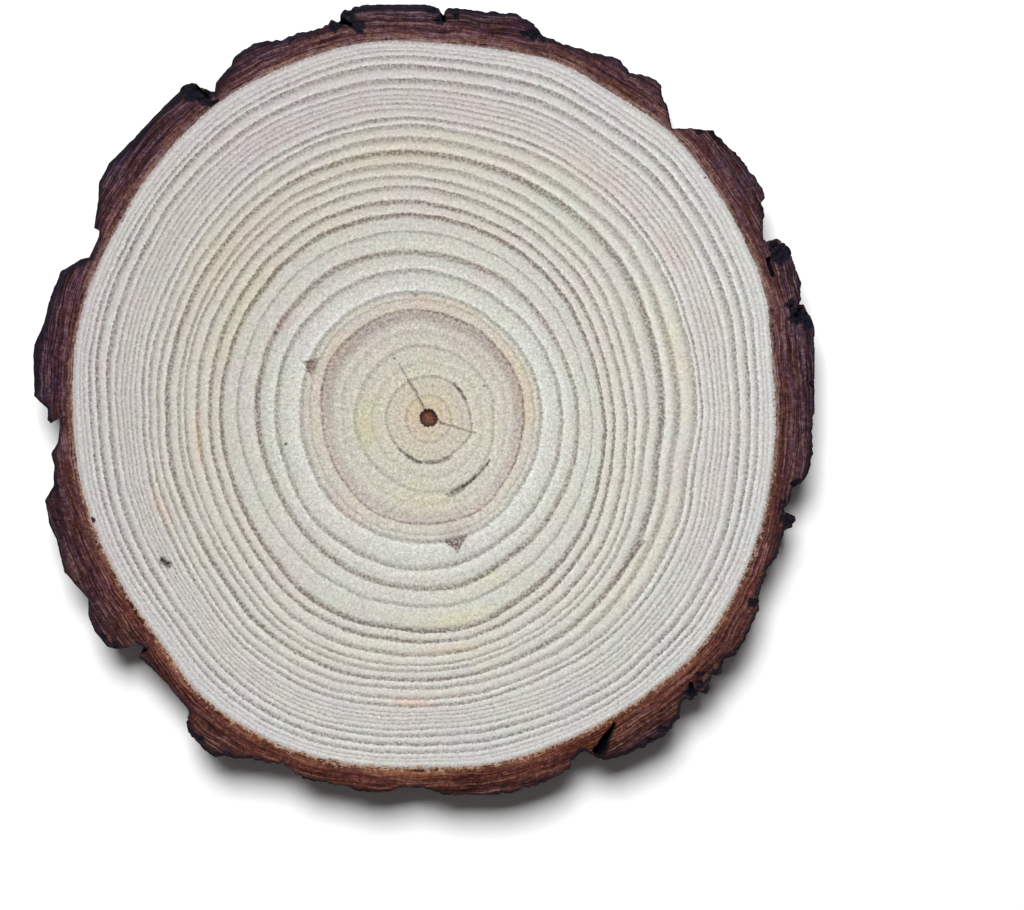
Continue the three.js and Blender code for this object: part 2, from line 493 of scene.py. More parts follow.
# Soft stains in the wood: angle, distance, half span in degrees, half width in millimetres, and what the
# colour is multiplied by.
stains = [
    (150, 5.5, 65, 3.2, (1.04, 0.97, 0.88)),
    (178, 20.5, 20, 3.2, (1.01, 0.98, 0.88)),
    (262, 27.0, 30, 3.0, (1.03, 0.98, 0.88)),
    (60, 26.0, 35, 4.0, (0.97, 0.95, 0.97)),
    (130, 45.5, 30, 3.0, (1.03, 1.04, 1.07)),
    (20, 45.0, 40, 3.0, (1.02, 1.03, 1.05)),
    (283, 38.0, 7, 3.0, (0.86, 0.82, 0.82)),
    (60, 5.0, 60, 3.5, (1.01, 0.98, 0.90)),
    (192, 20.5, 16, 3.0, (1.0, 0.98, 0.84)),
    (165, 18.0, 14, 3.0, (0.98, 1.0, 0.90)),
    (278, 65.0, 13, 2.4, (1.03, 1.0, 0.80)),
    (290, 55.0, 9, 2.0, (1.02, 1.0, 0.88)),
    (10, 32.5, 18, 2.6, (1.03, 0.97, 0.86)),
    (35, 33.0, 12, 2.4, (1.03, 0.97, 0.88)),
    (85, 37.0, 22, 2.2, (1.03, 0.95, 0.90)),
    (145, 37.0, 10, 2.6, (0.98, 0.92, 0.86)),
    (67, 47.5, 8, 2.6, (1.02, 0.95, 1.0)),
    (115, 48.0, 10, 2.0, (1.0, 0.94, 0.96)),
    (228, 40.0, 7, 2.2, (1.06, 0.93, 0.90)),
    (147, 55.0, 3.0, 1.2, (1.06, 0.82, 0.78)),
    (150, 70.0, 25, 4.0, (1.0, 0.99, 0.88)),
    (95, 85.0, 22, 5.0, (1.02, 0.97, 0.88)),
    (140, 83.0, 16, 6.0, (1.02, 0.97, 0.88)),
    (185, 74.0, 8, 1.2, (1.06, 0.86, 0.76)),
    (275, 74.5, 8, 1.1, (1.05, 0.90, 0.74)),
    (267, 91.0, 4, 1.6, (1.08, 0.90, 0.80)),
    (200, 90.0, 5, 2.0, (1.06, 0.93, 0.88)),
    (15, 82.0, 15, 3.0, (1.02, 0.98, 0.88)),
    (330, 82.0, 20, 3.0, (1.02, 0.99, 0.91)),
    (45, 94.0, 30, 3.0, (1.02, 0.96, 0.96)),
    (110, 101.0, 40, 5.0, (1.0, 0.97, 0.99)),
]


def stainColours(angle, distance):
    colours = np.ones((len(angle), 3))
    for stainAngle, stainDistance, span, halfWidth, tint in stains:
        near = np.exp(-(degreesOff(angle, stainAngle) / span) ** 2
                      - ((distance - stainDistance) / halfWidth) ** 2)
        colours *= 1 + near[:, None] * (np.array(tint) - 1)
    return colours


def diskLoops():
    # the ages of the loops on the upper face, from the bark inwards, with more of them round the pith
    count = wood["loopsInRing"]
    ages = [step / count for step in range(count, lastRing * count)]
    firstRing = float(ringDistance(1.0, np.array([0.0]))[0])
    ages += [distance / firstRing for distance in wood["pithLoops"]]
    return sorted([*ages, float(lastRing)], reverse=True)


def insetLoops(piece, up, loops, step):
    # insets the top (up is 1) or bottom (up is -1) face of a drum again and again, then closes it at the pith
    bpy.ops.object.mode_set(mode="EDIT")
    bpy.ops.mesh.select_mode(type="FACE")
    bpy.ops.mesh.select_all(action="DESELECT")
    bpy.ops.object.mode_set(mode="OBJECT")
    for face in piece.data.polygons:
        face.select = len(face.vertices) > 4 and face.normal.z * up > 0.9
    bpy.ops.object.mode_set(mode="EDIT")
    for _ in range(loops):
        bpy.ops.mesh.inset(thickness=step)
    bpy.ops.mesh.poke()
    bpy.ops.object.mode_set(mode="OBJECT")


def addDrum(radius):
    deselectAll()
    bpy.ops.mesh.primitive_cylinder_add(
        vertices=wood["around"], radius=radius, depth=sliceThickness * mm, end_fill_type="NGON",
        calc_uvs=False, location=(pith[0] * mm, pith[1] * mm, sliceThickness * mm / 2))
    piece = bpy.context.object
    piece.name = piece.data.name = "wood_disc"
    bpy.ops.object.transform_apply(location=True, rotation=True, scale=True)
    return piece


def readLoops(piece, upper, lower, radius, step):
    # each vertex knows its loop by how far in the insets left it, and its angle by where it stands;
    # the two middle vertices stand in no loop, and their age is 0
    places = vertexPlaces(piece)
    flat = places[:, :2] - pith * mm
    reach = np.hypot(*flat.T)
    onTop = places[:, 2] > sliceThickness * mm / 2
    loop = np.rint((radius - reach) / step).astype(int)
    age = np.zeros(len(places))
    for side, ages in ((onTop, upper), (~onTop, lower)):
        chosen = side & (reach >= step * 0.5)
        age[chosen] = np.array(ages)[loop[chosen]]
    return age, angleRound(flat), onTop


def settleRings(age, angle):
    # where each vertex belongs, and how wide its ring is there
    distance = np.zeros(len(age))
    width = np.full(len(age), wood["middleRingWidth"])
    for value in np.unique(age[age > 0]):
        at = age == value
        inner, outer = max(value - 0.5, 0), min(value + 0.5, lastRing)
        distance[at] = ringDistance(value, angle[at]) + wobble(value, angle[at])
        width[at] = (ringDistance(outer, angle[at]) - ringDistance(inner, angle[at])) / (outer - inner)
    rim = age == lastRing
    distance[rim] = edgeDistance(angle[rim])
    return distance, width


def faceHeight(flat, distance, age, onTop):
    # the sawn face isn't quite flat, the pith has shrunk, and the rim is slightly broken
    saw = wood["reliefDepth"] * (flatRoughness(flat, *wood["reliefNoise"]) - 1)
    slope = [share * wood["pithRadius"] for share in wood["pithSlope"]]
    hollow = -wood["pithDepth"] * (1 - smoothStep(*slope, distance))
    depth = saw + hollow - wood["edgeDrop"] * smoothStep(*wood["dropRings"], age)
    return np.where(onTop, sliceThickness + depth, -depth * wood["lowerRelief"])


def makeWood():
    upper = diskLoops()
    lower = [float(ring) for ring in range(lastRing, 0, -1)]
    radius = float(np.mean(woodEdge)) * mm
    step = radius / (len(upper) + 1)
    piece = addDrum(radius)
    insetLoops(piece, 1, len(upper) - 1, step)
    insetLoops(piece, -1, len(lower) - 1, step)
    age, angle, onTop = readLoops(piece, upper, lower, radius, step)
    distance, width = settleRings(age, angle)
    flat = fromPith(angle, distance)
    placeMesh(piece, flat, faceHeight(flat, distance, age, onTop))

    addReading(piece.data, "ringAge", age)
    addReading(piece.data, "ringWidth", width)
    addTint(piece.data, "stain", stainColours(angle, distance))
    addDiskMap(piece, flat, onTop)
    bpy.ops.object.shade_smooth_by_angle(angle=math.radians(wood["smoothAngle"]))
    print("wood disc", len(piece.data.polygons), "faces,", len(upper), "loops")
    return piece


# The upper face takes a large circle of the square map, and the lower face a small one.
woodMap = {
    "upperMiddle": 0.40,
    "upperRadius": 0.378,
    "sideBand": (1.012, 1.05),  # the side is a thin band round the large circle
    "lowerMiddle": 0.82,
    "lowerRadius": 0.174,
}


def addDiskMap(piece, flat, onTop):
    spread = flat / np.hypot(*flat.T).max()
    upperSpot = woodMap["upperMiddle"] + spread * woodMap["upperRadius"]
    lowerSpot = woodMap["lowerMiddle"] - spread * woodMap["lowerRadius"]
    corners = cornerVertices(piece)
    cornerOnTop = onTop[corners]
    spots = np.where(cornerOnTop[:, None], upperSpot[corners], lowerSpot[corners])

    # a side face has corners on both faces of the disc
    for face in piece.data.polygons:
        own = slice(face.loop_start, face.loop_start + face.loop_total)
        if cornerOnTop[own].any() and not cornerOnTop[own].all():
            stretch = np.where(cornerOnTop[own], *woodMap["sideBand"])[:, None]
            spots[own] = woodMap["upperMiddle"] + spread[corners[own]] * woodMap["upperRadius"] * stretch
    addMap(piece, spots)


# Marks in the wood. A check runs from point to point, each [angle, distance], and has a half width in
# millimetres and a darkness. A spot has its angle, distance, radius and darkness.
marks = {
    "checks": [
        ([[112, 2.6], [116, 8.0], [118.2, 14.0]], 0.68, 0.65),
        ([[118.2, 14.0], [118.9, 19.5]], 0.55, 0.4),
        ([[338, 2.6], [341.8, 12.5], [342.2, 15.5]], 0.65, 0.6),
        ([[229, 13.6], [246, 14.0]], 0.8, 0.7),
        ([[244, 14.0], [252, 14.3], [260, 14.6]], 1.0, 0.8),
        ([[268, 14.2], [285, 14.3], [300, 14.2]], 1.0, 0.6),
        ([[52, 13.6], [40, 13.4], [27, 13.1]], 0.9, 0.75),
        ([[325, 23.7], [318, 23.9], [310, 24.1]], 0.7, 0.8),
        ([[310, 24.1], [303, 24.3], [296, 24.6]], 0.95, 0.95),
        ([[297, 24.6], [291, 25.0], [288, 25.2]], 1.5, 0.8),
        ([[289, 25.2], [284, 25.3]], 1.0, 0.5),
        ([[320, 78.8], [326, 79.0]], 0.6, 0.6),
        ([[325, 79.0], [330, 79.2]], 0.9, 0.7),
        ([[208.2, 96.5], [209.3, 95.6]], 1.9, 1.0),  # an insect's hole
    ],
    "spots": [
        (190.2, 46.3, 0.6, 0.85),
        (30.0, 20.5, 0.6, 0.6),
        (119.5, 22.0, 0.6, 0.6),
        (41.0, 117.2, 0.4, 0.8),
        (33.0, 95.0, 0.45, 0.55),
        (196.9, 112.2, 1.1, 1.0),
        (151.0, 56.0, 0.9, 0.5),
        (96.0, 39.6, 0.9, 0.5),
    ],
    # dry resin in triangles where a twig began: angle, distance to the point, width of the base, length
    "twigs": [(282.5, 44.6, 9.0, 5.6), (155.8, 44.6, 8.0, 5.4)],
    "checkCore": 0.25,  # the share of a check's half width, and of a spot's radius, that is fully dark
    "spotCore": 0.55,
    "twigSides": (-0.2, 0.8),  # soft edges of a twig mark, in millimetres
    "twigBase": (-1.2, 0.4),
}


def faceSpot(angle, distance):
    return np.append(fromPith(angle, distance) + pith, 0) * mm


def lineMask(sh, spot, start, end, halfWidth):
    # 1 along the middle of a line between two places, falling to 0 at halfWidth from it
    start, end = faceSpot(*start), faceSpot(*end)
    run = end - start
    off = sh.vector("SUBTRACT", spot, tuple(start))
    along = sh.vector("DOT_PRODUCT", off, tuple(run / run.dot(run)), out="Value")
    along = sh.node("ShaderNodeClamp", {}, {0: along})
    nearest = sh.vector("MULTIPLY", sh.grey(along), tuple(run))
    away = sh.vector("DISTANCE", off, nearest, out="Value")
    return sh.ramp(away, marks["checkCore"] * halfWidth * mm, halfWidth * mm, 1.0, 0.0)


def spotMask(sh, spot, angle, distance, radius):
    away = sh.vector("DISTANCE", spot, tuple(faceSpot(angle, distance)), out="Value")
    return sh.ramp(away, marks["spotCore"] * radius * mm, radius * mm, 1.0, 0.0)


def twigMask(sh, spot, angle, distance, width, length):
    # a triangle with its point away from the pith
    turn = math.radians(angle)
    inward = (-math.cos(turn), -math.sin(turn), 0.0)
    across = (-math.sin(turn), math.cos(turn), 0.0)
    off = sh.vector("SUBTRACT", spot, tuple(faceSpot(angle, distance)))
    back = sh.vector("DOT_PRODUCT", off, inward, out="Value")
    aside = sh.vector("DOT_PRODUCT", off, across, out="Value").maths("ABSOLUTE")
    slack = back * (0.5 * width / length) - aside
    inside = sh.ramp(slack, *[edge * mm for edge in marks["twigSides"]])
    base = sh.ramp(back, *[(length + edge) * mm for edge in marks["twigBase"]], 1.0, 0.0)
    return inside * base


# The look of the wood. Tones are as seen on a screen, shares multiply a tone, and each noise is its scale,
# detail and roughness. A span is where a change begins and ends, with its values there if it has four numbers,
# and a span across the slice is in metres.
woodLook = {
    "ground": (190, 187, 179),
    "late": (118, 110, 101),
    "bright": (232, 229, 222),
    "middleShares": (1.0, 0.99, 0.935),
    "middleRings": (0.5, 24),
    "rimShares": (1.0, 1.0, 1.03),
    "rimRings": (20, 26),
    # painted shade: the wood is darker towards -X and +Y
    "paintedShadeSideShares": (0.88, 0.85, 0.855),  # towards -X and +Y
    "paintedShadeSideRun": (-7.0, 6.0, 0.0),  # its direction, and how fast it grows per metre
    "paintedShadeSideSpan": (-0.6, 1.0),
    "fineNoise": (1100, 2.0, 0.6),
    "broadNoise": (130, 2.0, 0.5),
    "fineStray": 1.5,  # how far a ring's line strays, in millimetres
    "broadStray": 0.7,
    "patchNoise": (45, 3.0, 0.6),
    "patchBase": 0.45,
    "patchSpread": 1.1,
    "dotNoise": (1000, 1.0, 0.6),
    "dotSpan": (0.38, 0.62, 0.55, 1.45),
    "shadeRings": (3.3, 3.5, 4.05, 4.2),  # the fourth ring has a broad shade
    "shadeFade": (0.012, -0.02, 0.0, 0.5),  # and half of that is gone towards -Y
    "cloudNoise": (60, 3.0, 0.6),
    "clouds": 0.08,
    "fibreNoise": (420, 2.0, 0.6),
    "fibres": 0.06,
    "grainNoise": (1500, 2.0, 0.7),
    "grain": 1.05,
    "fleckNoise": (850, 1.0, 0.6),
    "fleck": 0.6,
    "strandNoise": (1.0, 2.0, 0.7),
    "strandsRound": 24.0,
    "strandsInRing": 5.0,
    "strands": 0.5,
    "textureFade": (4.0, 12.0, 1.2, 0.75),  # coarser round the pith
    "fringe": (104, 80, 78),
    "lowFringe": (146, 96, 62),
    "fringeStray": 1.6,
    "fringeSpan": (-0.1, 1.3, 0.9, 0.0),  # millimetres from the bark, and how much of the fringe shows
    "fringeSides": (-0.09, 0.02),
    "fringeSlant": 0.5,
    "fringeLeast": 0.8,
    "dark": (46, 29, 22),
    "twig": (94, 73, 65),
    "wanderNoise": (500, 3.0, 0.7),
    "wander": 1.3,
    "checkBreaks": (-0.12, 0.10, 1.0, 0.7),
    "twigBreaks": (-0.2, 0.2, 1.0, 0.5),
    "pith": (104, 64, 48),
    "pithRim": (38, 20, 12),
    "spikeNoise": (3.2, 2.0, 0.7),
    "spikes": 2.2,
    "pithEdge": (-0.2, 0.35),  # millimetres from the pith's radius
    "pithRimEdge": (-2.0, -0.4),
    "pithRimShare": 0.9,
    "pithTexture": 2.0,
    "lateRelief": -0.12,
    "relief": 0.1,
    "reliefStrength": 0.5,
    "roughness": (-0.3, 0.3, 0.65, 0.85),
    "shine": 0.25,
}

# What the wood's colour is multiplied by in each ring.
ringTints = [
    (0.35, (1.05, 0.95, 0.87)), (1.00, (1.02, 0.98, 0.94)), (2.00, (1.00, 0.99, 0.97)),
    (3.00, (1.00, 1.02, 1.00)), (3.75, (1.02, 1.01, 1.02)), (4.02, (1.06, 0.98, 1.05)),
    (4.25, (1.04, 1.01, 1.00)), (4.80, (1.02, 1.02, 1.02)), (5.20, (1.01, 1.06, 1.11)),
    (6.80, (1.02, 1.06, 1.10)), (7.10, (1.02, 1.03, 1.05)), (7.50, (1.02, 1.05, 1.09)),
    (8.70, (1.02, 1.05, 1.09)), (9.20, (1.04, 1.03, 1.05)), (10.5, (1.05, 1.06, 1.08)),
    (12.0, (1.06, 1.07, 1.08)), (13.0, (1.04, 1.06, 1.08)), (15.5, (1.03, 1.05, 1.07)),
    (16.5, (1.01, 1.03, 1.08)), (20.0, (1.01, 1.02, 1.07)), (26.0, (1.01, 1.03, 1.07)),
]
tintScale = 0.9  # keeps the ramp's colours within its range

# The lines of late wood: ring number, darkness, width inside and outside it in rings, and brightness of the
# pale line that follows.
ringLines = [
    (0.55, 0.15, 0.08, 0.08, 0.0), (0.90, 0.35, 0.08, 0.10, 0.1), (1.35, 0.12, 0.10, 0.10, 0.0),
    (1.80, 0.50, 0.10, 0.10, 0.2), (2.40, 0.20, 0.08, 0.08, 0.1), (3.00, 0.35, 0.10, 0.10, 0.1),
    (3.45, 0.18, 0.10, 0.10, 0.1), (3.93, 0.48, 0.28, 0.08, -0.28), (4.13, 0.75, 0.12, 0.15, 0.1),
    (4.75, 0.30, 0.10, 0.10, 0.1), (5.10, 0.50, 0.12, 0.14, 0.4), (6.10, 0.60, 0.20, 0.14, 0.35),
    (7.05, 0.75, 0.25, 0.20, 0.25), (8.05, 0.50, 0.14, 0.10, 0.15), (9.10, 0.95, 0.30, 0.20, 0.3),
    (10.05, 0.80, 0.28, 0.18, 0.3), (11.00, 0.65, 0.32, 0.18, 0.3), (12.00, 0.60, 0.32, 0.18, 0.3),
    (12.85, 0.55, 0.42, 0.20, 0.25), (14.00, 0.80, 0.45, 0.22, 0.4), (14.80, 0.55, 0.30, 0.22, 0.3),
    (15.85, 0.55, 0.40, 0.18, 0.5), (16.75, 0.65, 0.45, 0.26, 0.35), (17.70, 0.40, 0.22, 0.16, 0.25),
    (18.30, 0.50, 0.20, 0.20, 0.35), (18.90, 0.36, 0.20, 0.16, 0.2), (19.45, 0.40, 0.24, 0.16, 0.25),
    (20.25, 0.50, 0.30, 0.20, 0.4), (21.40, 0.65, 0.60, 0.20, 0.45), (22.70, 0.70, 0.55, 0.24, 0.5),
    (23.70, 0.60, 0.42, 0.20, 0.4), (24.40, 0.36, 0.18, 0.16, 0.3), (24.90, 0.24, 0.16, 0.14, 0.25),
    (25.55, 0.25, 0.25, 0.20, 0.1),
]

# How a ramp draws each of them.
lineShape = {
    "linesInRamp": 6,  # a ramp has room for 32 stops, and a line takes up to five
    "rise": (0.45, 0.75),  # share of the width inside the ring, and of the darkness there
    "hold": 0.3,  # share of the width outside the ring over which the line stays dark
    "paleTail": (0.25, 0.4),  # rings beyond the line, and the pale line's share of its brightness there
    "end": 0.3,  # rings beyond a ramp's last line
    "gap": 0.02,  # the least distance from one line's end to the next one's start
}


def ringProfile(sh, age):
    # how dark (towards -1) or bright (towards 1) the wood is at each age
    count = lineShape["linesInRamp"]
    riseAt, riseDark = lineShape["rise"]
    tail, tailBright = lineShape["paleTail"]
    total = 0.0
    for first in range(0, len(ringLines), count):
        lines = ringLines[first:first + count]
        low = lines[0][0] - lines[0][2]
        high = lines[-1][0] + lines[-1][3] + lineShape["end"]
        starts = [ring - inside for ring, _, inside, _, _ in lines] + [high + 1]
        knots = [(low, 0.0)]
        for (ring, darkness, inside, outside, brightness), nextStart in zip(lines, starts[1:]):
            if ring - inside > knots[-1][0] + lineShape["gap"]:
                knots += [(ring - inside, 0.0)]
            knots += [(ring - riseAt * inside, -riseDark * darkness)]
            knots += [(ring + lineShape["hold"] * outside, -darkness), (ring + outside, brightness)]
            if ring + outside + tail < nextStart:
                knots += [(ring + outside + tail, tailBright * brightness)]
        knots = [knot for knot in knots if knot[0] < high] + [(high, 0.0)]
        stops = [((at - low) / (high - low), [0.5 + 0.5 * value] * 3) for at, value in knots]
        share = (age - low) / (high - low)
        ramp = sh.node("ShaderNodeValToRGB", {"stops": stops}, {"Fac": share})
        total = (ramp - 0.5) * 2.0 + total
    return total


def ringTone(sh, age, flat, ragged):
    # the plain ring pattern
    profile = ringProfile(sh, ragged)
    patchy = woodLook["patchBase"] + sh.speckle(flat, woodLook["patchNoise"]) * woodLook["patchSpread"]
    dots = sh.ramp(sh.speckle(flat, woodLook["dotNoise"]), *woodLook["dotSpan"], "LINEAR")
    late = (profile * -1.0).maths("MAXIMUM", 0.0) * patchy * dots
    start, full, fading, end = woodLook["shadeRings"]
    shade = sh.ramp(age, start, full) * sh.ramp(age, fading, end, 1.0, 0.0)
    late = late * (1.0 - shade * sh.ramp(sh.split(flat, 1), *woodLook["shadeFade"]))
    bright = profile.maths("MAXIMUM", 0.0) * patchy
    tone = sh.mix(late, solid(woodLook["ground"]), solid(woodLook["late"]))
    return sh.mix(bright, tone, solid(woodLook["bright"])), late


def tintedTone(sh, tone, age, flat, ragged):
    # warm heart, cool outer wood, painted shade on the side towards -X and +Y, stains, and a tint for each
    # ring
    warmth = sh.ramp(age, *woodLook["middleRings"], 1.0, 0.0, "LINEAR")
    tone = sh.tint(warmth, tone, woodLook["middleShares"])
    coolness = sh.ramp(age, *woodLook["rimRings"], curve="LINEAR")
    tone = sh.tint(coolness, tone, woodLook["rimShares"])
    # painted shade: darker towards -X and +Y
    paintedShadeSide = sh.vector("DOT_PRODUCT", flat, woodLook["paintedShadeSideRun"], out="Value")
    tone = sh.tint(sh.ramp(paintedShadeSide, *woodLook["paintedShadeSideSpan"]), tone, woodLook["paintedShadeSideShares"])
    tone = sh.tint(1.0, tone, sh.colourReading("stain"))
    stops = [(ring / lastRing, [share * tintScale for share in tint]) for ring, tint in ringTints]
    ringTint = sh.node("ShaderNodeValToRGB", {"stops": stops}, {"Fac": ragged / lastRing})
    return sh.vector("MULTIPLY", tone, sh.vector("SCALE", ringTint, scale=1 / tintScale))


def markedTone(sh, tone, spot, speckles):
    # checks, spots and twig marks
    dark = 0.0
    for line, halfWidth, depth in marks["checks"]:
        for start, end in zip(line, line[1:]):
            dark = (lineMask(sh, spot, start, end, halfWidth) * depth).maths("MAXIMUM", dark)
    dark = dark * sh.ramp(speckles, *woodLook["checkBreaks"])
    for angle, distance, radius, depth in marks["spots"]:
        dark = (spotMask(sh, spot, angle, distance, radius) * depth).maths("MAXIMUM", dark)
    twigs = 0.0
    for angle, distance, base, length in marks["twigs"]:
        twigs = twigMask(sh, spot, angle, distance, base, length).maths("MAXIMUM", twigs)
    tone = sh.mix(twigs * sh.ramp(speckles, *woodLook["twigBreaks"]), tone, solid(woodLook["twig"]))
    return sh.mix(dark, tone, solid(woodLook["dark"]))


def pithTone(sh, tone, spot, texture):
    # the pith, with its ragged dark rim
    fromMiddle = sh.vector("SUBTRACT", spot, pithSpot)
    spikes = sh.speckle(sh.vector("NORMALIZE", fromMiddle), woodLook["spikeNoise"]) - 0.5
    away = sh.vector("LENGTH", fromMiddle, out="Value") - spikes * woodLook["spikes"] * mm
    away = away - wood["pithRadius"] * mm
    mask = sh.ramp(away, *[edge * mm for edge in woodLook["pithEdge"]], 1.0, 0.0)
    rim = sh.ramp(away, *[edge * mm for edge in woodLook["pithRimEdge"]])
    own = sh.mix(rim * woodLook["pithRimShare"], solid(woodLook["pith"]), solid(woodLook["pithRim"]))
    own = sh.tint(1.0, own, sh.grey(1.0 + texture * woodLook["pithTexture"]))
    return sh.mix(mask, tone, own)


def woodMaterial():
    sh = Shader("end grain")
    place = sh.place()
    age = sh.reading("ringAge")
    width = sh.reading("ringWidth")
    flat = sh.vector("MULTIPLY", place, (1.0, 1.0, 0.0))

    # ring lines are a little ragged, because they cross single fibres, and stronger here than there
    fine = sh.speckle(flat, woodLook["fineNoise"]) - 0.5
    broad = sh.speckle(flat, woodLook["broadNoise"]) - 0.5
    ragged = age + (fine * woodLook["fineStray"] + broad * woodLook["broadStray"]) / width
    tone, late = ringTone(sh, age, flat, ragged)
    tone = tintedTone(sh, tone, age, flat, ragged)

    # cloudy tint and fibre speckle
    clouds = sh.speckle(flat, woodLook["cloudNoise"], out="Color")
    tone = sh.mix(woodLook["clouds"], tone, clouds, "OVERLAY")
    fibres = sh.speckle(flat, woodLook["fibreNoise"], out="Color")
    tone = sh.mix(woodLook["fibres"], tone, fibres, "OVERLAY")
    grain = sh.speckle(flat, woodLook["grainNoise"]) - 0.5
    fleck = sh.speckle(flat, woodLook["fleckNoise"]) - 0.5
    around = sh.vector("NORMALIZE", sh.vector("SUBTRACT", flat, pithSpot))
    strandPlace = sh.leafPlace(around, woodLook["strandsRound"], ragged * woodLook["strandsInRing"])
    strands = sh.speckle(strandPlace, woodLook["strandNoise"]) - 0.5
    texture = grain * woodLook["grain"] + fleck * woodLook["fleck"] + strands * woodLook["strands"]
    texture = texture * sh.ramp(age, *woodLook["textureFade"], "LINEAR")
    tone = sh.tint(1.0, tone, sh.grey(1.0 + texture))

    # torn bark fibres along the wood's edge
    inwards = (lastRing - age) * width + (fine + grain) * woodLook["fringeStray"]
    fringe = sh.ramp(inwards, *woodLook["fringeSpan"])
    slanted = sh.split(flat, 0) * woodLook["fringeSlant"] + sh.split(flat, 1)
    high = sh.ramp(slanted, *woodLook["fringeSides"])
    fringeTone = sh.mix(high, solid(woodLook["lowFringe"]), solid(woodLook["fringe"]))
    least = woodLook["fringeLeast"]
    tone = sh.mix(fringe * (least + high * (1 - least)), tone, fringeTone)

    # marks and pith have wandering outlines
    wander = sh.speckle(flat, woodLook["wanderNoise"], out="Color")
    wander = sh.vector("SUBTRACT", wander, (0.5, 0.5, 0.5))
    reach = woodLook["wander"] * mm
    spot = sh.vector("ADD", flat, sh.vector("MULTIPLY", wander, (reach, reach, 0.0)))
    tone = markedTone(sh, tone, spot, grain + fleck)
    tone = pithTone(sh, tone, spot, texture)

    relief = late * woodLook["lateRelief"] + texture
    normal = sh.bump(relief, woodLook["relief"] * mm, woodLook["reliefStrength"])
    rough = sh.ramp(grain, *woodLook["roughness"])
    return sh.end(Base_Color=tone, Roughness=rough, Normal=normal, Specular_IOR_Level=woodLook["shine"])


# The bark: how fine its mesh is, and how rough its faces are, in millimetres. Each noise is the size of its
# lumps, its octaves and its seed.
bark = {
    "columns": 1800,
    "cells": (28, 14, 6, 2),  # rows on the upper face, the side, the lower face and the inner wall
    "columnBlur": 14,  # columns over which the joint with the wood is smoothed
    "tuck": 1.4,  # how far the bark reaches in under the edge of the wood
    "outlineRough": 0.45,
    "chipNoise": (5.0, 4, 1.9),
    "outlineCrumbs": 0.42,
    "crumbNoise": (1.7, 3, 6.1),
    "outlineShift": 0.28,  # how far the roughened edge moves outwards
    "hook": (170, 186),  # between these angles a spike of bark reaches on over its neighbour
    "standingKnob": 1.75,  # knobs of this radius or more stand out of the outer edge
    "standingRough": 2.0,
    "lean": 1.4,  # degrees round the trunk, from the upper face to the lower one
    "worn": 1.3,  # how much further in the lower edge is
    "gapRagged": 0.32,
    "gapNoise": (2.4, 3, 12.5),
    "gapSlope": (0.35, 1.0),  # in half widths of the gap
    # the gaps' black is painted shadow, out to these half widths
    "gapShadowSlope": (0.75, 1.15),
    "gapShadowFade": (1.2, 1.5),  # how black a gap and a knob are at the top, and what they lose on the way down
    "knobRagged": 1.1,
    "knobNoise": (1.8, 4, 15.2),
    "knobSlope": (0.85, 1.1),
    "knobFade": (1.3, 1.2),
    "knobDrop": 0.5,
    "lumpDepth": 1.1,
    "lumpNoise": (1.5, 3, 21.0),
    "sideStart": 0.12,  # the side is smooth at first, as a share of its height
    "sideBlend": 0.08,
    "flakeNoise": (7.0, 4, 5.1),
    "flakeStretch": 0.35,  # flakes are longer up the side than round it
    "flakeSteps": 4,
    "flakeDepth": 0.9,
    "flakeShift": 0.9,
    "fibreNoise": (1.8, 3, 9.4),
    "fibreStretch": 0.12,
    "fibreDepth": 0.25,
    "leafNoise": (1.0, 3, 2.2),
    "leafStretch": (0.05, 0.9),  # round the trunk, and across the leaves
    "leafDepth": 0.22,
    "leafStart": (0.5, 2.0),
    "leafShift": 0.6,
    "faceNoise": (2.2, 3, 7.7),
    "faceDepth": 0.12,
    "outerDepth": 0.55,
    "outerStart": 0.55,
    "highestCrumb": -0.2,  # crumbs stand out of the face no further than this
    "rimDrop": 0.6,
    "rimStart": 0.90,
    "topDrop": 0.1,
    "dropLimits": (0.05, 3.0),
    "lowerDrop": 0.7,  # the lower face's share of the drop
    "smoothAngle": 60,
}

# Deep gaps between plates, made black by painted shadow: a line of [angle, distance] points, its width at each
# end, and its depth.
gaps = [
    ([[297.2, 120.0], [301.2, 114.8]], 4.8, 0.9, 9.0),
    ([[102.6, 130.4], [101.2, 128.6]], 2.2, 1.2, 4.0),
    ([[88.1, 130.5], [87.8, 127.4]], 2.2, 1.2, 4.0),
    ([[25.0, 120.0], [23.6, 119.4], [22.2, 119.2]], 1.5, 0.7, 4.0),
    ([[16.6, 124.4], [15.4, 122.4]], 2.2, 1.4, 3.0),
    ([[124.8, 128.8], [124.6, 125.4]], 2.0, 1.4, 3.0),
    ([[313.8, 121.9], [314.6, 119.6]], 2.0, 1.2, 3.0),
]

